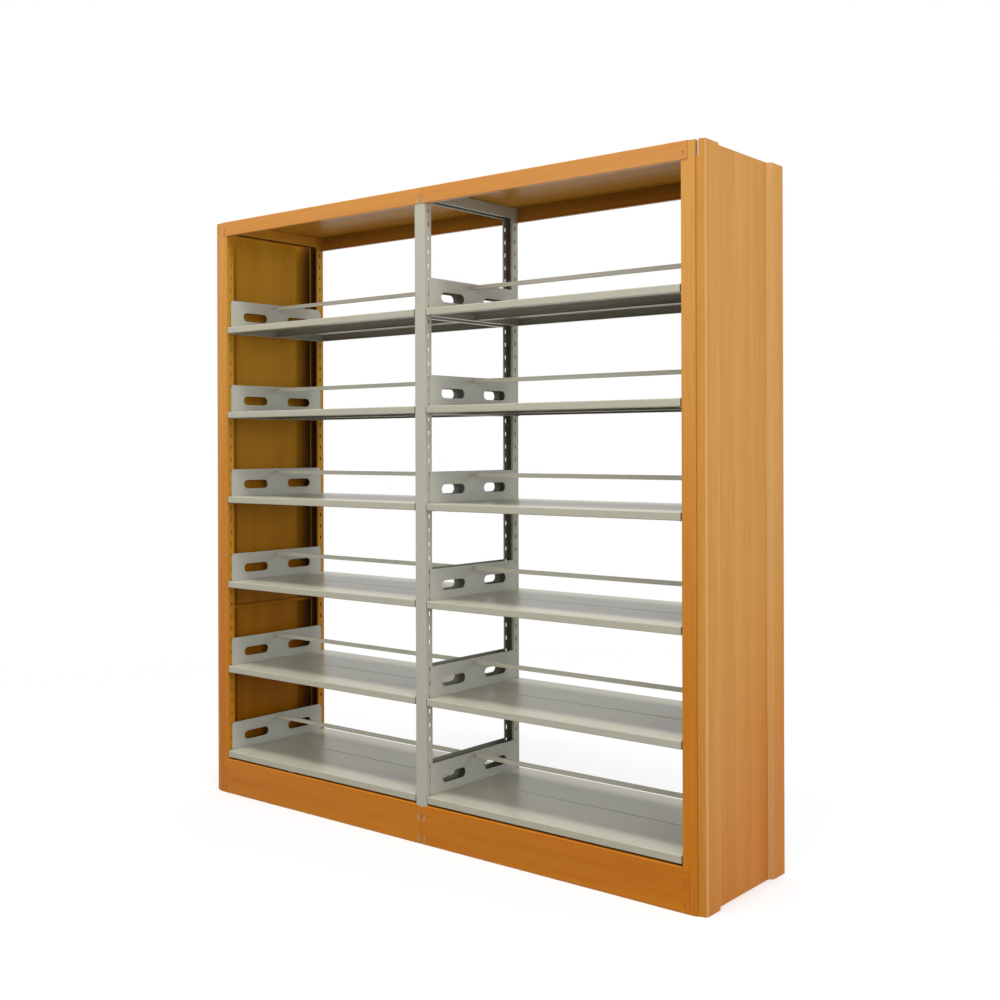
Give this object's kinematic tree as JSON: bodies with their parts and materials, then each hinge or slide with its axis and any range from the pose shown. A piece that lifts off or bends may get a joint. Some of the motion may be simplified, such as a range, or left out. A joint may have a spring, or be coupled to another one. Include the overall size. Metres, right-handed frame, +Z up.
{
  "type": "double sided library shelving",
  "caption": "Free-standing steel library shelving with book tiers on both sides, slotted posts, hook-on brackets, stop bars, folded boards, kick plates, top panels and wood-grain end panels.",
  "frame": {"origin": "on the floor under the middle of the unit, below the centre upright", "axes": "+X along the length, the front faces -Y, +Z up"},
  "size_m": [1.993, 0.453, 2],
  "materials": {
    "wood_grain_coat": "satin wood-grain print on sheet steel",
    "grey_coat": "satin warm grey powder coat on sheet steel"
  },
  "bodies": {
    "frame": {"bottom_crossbar_centre": "grey_coat", "bottom_crossbar_left": "wood_grain_coat", "bottom_crossbar_right": "wood_grain_coat", "end_panel_left": "wood_grain_coat", "end_panel_right": "wood_grain_coat", "front_post_centre": "grey_coat", "front_post_left": "wood_grain_coat", "front_post_right": "wood_grain_coat", "kick_plate_left_front": "wood_grain_coat", "kick_plate_left_rear": "wood_grain_coat", "kick_plate_right_front": "wood_grain_coat", "kick_plate_right_rear": "wood_grain_coat", "rear_post_centre": "grey_coat", "rear_post_left": "wood_grain_coat", "rear_post_right": "wood_grain_coat", "top_crossbar_centre": "grey_coat", "top_crossbar_left": "wood_grain_coat", "top_crossbar_right": "wood_grain_coat", "top_panel_left": "wood_grain_coat", "top_panel_right": "wood_grain_coat"},
    "carrier_left_1": {"shelf_carrier_left_1": "grey_coat"},
    "board_left_1_front": {"shelf_board_left_1_front": "grey_coat"},
    "board_left_1_rear": {"shelf_board_left_1_rear": "grey_coat"},
    "carrier_left_2": {"shelf_carrier_left_2": "grey_coat"},
    "board_left_2_front": {"shelf_board_left_2_front": "grey_coat"},
    "board_left_2_rear": {"shelf_board_left_2_rear": "grey_coat"},
    "carrier_left_3": {"shelf_carrier_left_3": "grey_coat"},
    "board_left_3_front": {"shelf_board_left_3_front": "grey_coat"},
    "board_left_3_rear": {"shelf_board_left_3_rear": "grey_coat"},
    "carrier_left_4": {"shelf_carrier_left_4": "grey_coat"},
    "board_left_4_front": {"shelf_board_left_4_front": "grey_coat"},
    "board_left_4_rear": {"shelf_board_left_4_rear": "grey_coat"},
    "carrier_left_5": {"shelf_carrier_left_5": "grey_coat"},
    "board_left_5_front": {"shelf_board_left_5_front": "grey_coat"},
    "board_left_5_rear": {"shelf_board_left_5_rear": "grey_coat"},
    "carrier_left_6": {"shelf_carrier_left_6": "grey_coat"},
    "board_left_6_front": {"shelf_board_left_6_front": "grey_coat"},
    "board_left_6_rear": {"shelf_board_left_6_rear": "grey_coat"},
    "carrier_right_1": {"shelf_carrier_right_1": "grey_coat"},
    "board_right_1_front": {"shelf_board_right_1_front": "grey_coat"},
    "board_right_1_rear": {"shelf_board_right_1_rear": "grey_coat"},
    "carrier_right_2": {"shelf_carrier_right_2": "grey_coat"},
    "board_right_2_front": {"shelf_board_right_2_front": "grey_coat"},
    "board_right_2_rear": {"shelf_board_right_2_rear": "grey_coat"},
    "carrier_right_3": {"shelf_carrier_right_3": "grey_coat"},
    "board_right_3_front": {"shelf_board_right_3_front": "grey_coat"},
    "board_right_3_rear": {"shelf_board_right_3_rear": "grey_coat"},
    "carrier_right_4": {"shelf_carrier_right_4": "grey_coat"},
    "board_right_4_front": {"shelf_board_right_4_front": "grey_coat"},
    "board_right_4_rear": {"shelf_board_right_4_rear": "grey_coat"},
    "carrier_right_5": {"shelf_carrier_right_5": "grey_coat"},
    "board_right_5_front": {"shelf_board_right_5_front": "grey_coat"},
    "board_right_5_rear": {"shelf_board_right_5_rear": "grey_coat"},
    "carrier_right_6": {"shelf_carrier_right_6": "grey_coat"},
    "board_right_6_front": {"shelf_board_right_6_front": "grey_coat"},
    "board_right_6_rear": {"shelf_board_right_6_rear": "grey_coat"}
  },
  "joints": [
    {"name": "carrier_lift_left_1", "type": "slide", "parent": "frame", "child": "carrier_left_1", "axis": [0, 0, 1], "range_m": [0, 0.008]},
    {"name": "board_lift_left_1_front", "type": "slide", "parent": "carrier_left_1", "child": "board_left_1_front", "axis": [0, 0, 1], "range_m": [0, 0.07]},
    {"name": "board_lift_left_1_rear", "type": "slide", "parent": "carrier_left_1", "child": "board_left_1_rear", "axis": [0, 0, 1], "range_m": [0, 0.07]},
    {"name": "carrier_lift_left_2", "type": "slide", "parent": "frame", "child": "carrier_left_2", "axis": [0, 0, 1], "range_m": [0, 0.008]},
    {"name": "board_lift_left_2_front", "type": "slide", "parent": "carrier_left_2", "child": "board_left_2_front", "axis": [0, 0, 1], "range_m": [0, 0.07]},
    {"name": "board_lift_left_2_rear", "type": "slide", "parent": "carrier_left_2", "child": "board_left_2_rear", "axis": [0, 0, 1], "range_m": [0, 0.07]},
    {"name": "carrier_lift_left_3", "type": "slide", "parent": "frame", "child": "carrier_left_3", "axis": [0, 0, 1], "range_m": [0, 0.008]},
    {"name": "board_lift_left_3_front", "type": "slide", "parent": "carrier_left_3", "child": "board_left_3_front", "axis": [0, 0, 1], "range_m": [0, 0.07]},
    {"name": "board_lift_left_3_rear", "type": "slide", "parent": "carrier_left_3", "child": "board_left_3_rear", "axis": [0, 0, 1], "range_m": [0, 0.07]},
    {"name": "carrier_lift_left_4", "type": "slide", "parent": "frame", "child": "carrier_left_4", "axis": [0, 0, 1], "range_m": [0, 0.008]},
    {"name": "board_lift_left_4_front", "type": "slide", "parent": "carrier_left_4", "child": "board_left_4_front", "axis": [0, 0, 1], "range_m": [0, 0.07]},
    {"name": "board_lift_left_4_rear", "type": "slide", "parent": "carrier_left_4", "child": "board_left_4_rear", "axis": [0, 0, 1], "range_m": [0, 0.07]},
    {"name": "carrier_lift_left_5", "type": "slide", "parent": "frame", "child": "carrier_left_5", "axis": [0, 0, 1], "range_m": [0, 0.008]},
    {"name": "board_lift_left_5_front", "type": "slide", "parent": "carrier_left_5", "child": "board_left_5_front", "axis": [0, 0, 1], "range_m": [0, 0.07]},
    {"name": "board_lift_left_5_rear", "type": "slide", "parent": "carrier_left_5", "child": "board_left_5_rear", "axis": [0, 0, 1], "range_m": [0, 0.07]},
    {"name": "carrier_lift_left_6", "type": "slide", "parent": "frame", "child": "carrier_left_6", "axis": [0, 0, 1], "range_m": [0, 0.008]},
    {"name": "board_lift_left_6_front", "type": "slide", "parent": "carrier_left_6", "child": "board_left_6_front", "axis": [0, 0, 1], "range_m": [0, 0.07]},
    {"name": "board_lift_left_6_rear", "type": "slide", "parent": "carrier_left_6", "child": "board_left_6_rear", "axis": [0, 0, 1], "range_m": [0, 0.07]},
    {"name": "carrier_lift_right_1", "type": "slide", "parent": "frame", "child": "carrier_right_1", "axis": [0, 0, 1], "range_m": [0, 0.008]},
    {"name": "board_lift_right_1_front", "type": "slide", "parent": "carrier_right_1", "child": "board_right_1_front", "axis": [0, 0, 1], "range_m": [0, 0.07]},
    {"name": "board_lift_right_1_rear", "type": "slide", "parent": "carrier_right_1", "child": "board_right_1_rear", "axis": [0, 0, 1], "range_m": [0, 0.07]},
    {"name": "carrier_lift_right_2", "type": "slide", "parent": "frame", "child": "carrier_right_2", "axis": [0, 0, 1], "range_m": [0, 0.008]},
    {"name": "board_lift_right_2_front", "type": "slide", "parent": "carrier_right_2", "child": "board_right_2_front", "axis": [0, 0, 1], "range_m": [0, 0.07]},
    {"name": "board_lift_right_2_rear", "type": "slide", "parent": "carrier_right_2", "child": "board_right_2_rear", "axis": [0, 0, 1], "range_m": [0, 0.07]},
    {"name": "carrier_lift_right_3", "type": "slide", "parent": "frame", "child": "carrier_right_3", "axis": [0, 0, 1], "range_m": [0, 0.008]},
    {"name": "board_lift_right_3_front", "type": "slide", "parent": "carrier_right_3", "child": "board_right_3_front", "axis": [0, 0, 1], "range_m": [0, 0.07]},
    {"name": "board_lift_right_3_rear", "type": "slide", "parent": "carrier_right_3", "child": "board_right_3_rear", "axis": [0, 0, 1], "range_m": [0, 0.07]},
    {"name": "carrier_lift_right_4", "type": "slide", "parent": "frame", "child": "carrier_right_4", "axis": [0, 0, 1], "range_m": [0, 0.008]},
    {"name": "board_lift_right_4_front", "type": "slide", "parent": "carrier_right_4", "child": "board_right_4_front", "axis": [0, 0, 1], "range_m": [0, 0.07]},
    {"name": "board_lift_right_4_rear", "type": "slide", "parent": "carrier_right_4", "child": "board_right_4_rear", "axis": [0, 0, 1], "range_m": [0, 0.07]},
    {"name": "carrier_lift_right_5", "type": "slide", "parent": "frame", "child": "carrier_right_5", "axis": [0, 0, 1], "range_m": [0, 0.008]},
    {"name": "board_lift_right_5_front", "type": "slide", "parent": "carrier_right_5", "child": "board_right_5_front", "axis": [0, 0, 1], "range_m": [0, 0.07]},
    {"name": "board_lift_right_5_rear", "type": "slide", "parent": "carrier_right_5", "child": "board_right_5_rear", "axis": [0, 0, 1], "range_m": [0, 0.07]},
    {"name": "carrier_lift_right_6", "type": "slide", "parent": "frame", "child": "carrier_right_6", "axis": [0, 0, 1], "range_m": [0, 0.008]},
    {"name": "board_lift_right_6_front", "type": "slide", "parent": "carrier_right_6", "child": "board_right_6_front", "axis": [0, 0, 1], "range_m": [0, 0.07]},
    {"name": "board_lift_right_6_rear", "type": "slide", "parent": "carrier_right_6", "child": "board_right_6_rear", "axis": [0, 0, 1], "range_m": [0, 0.07]}
  ]
}
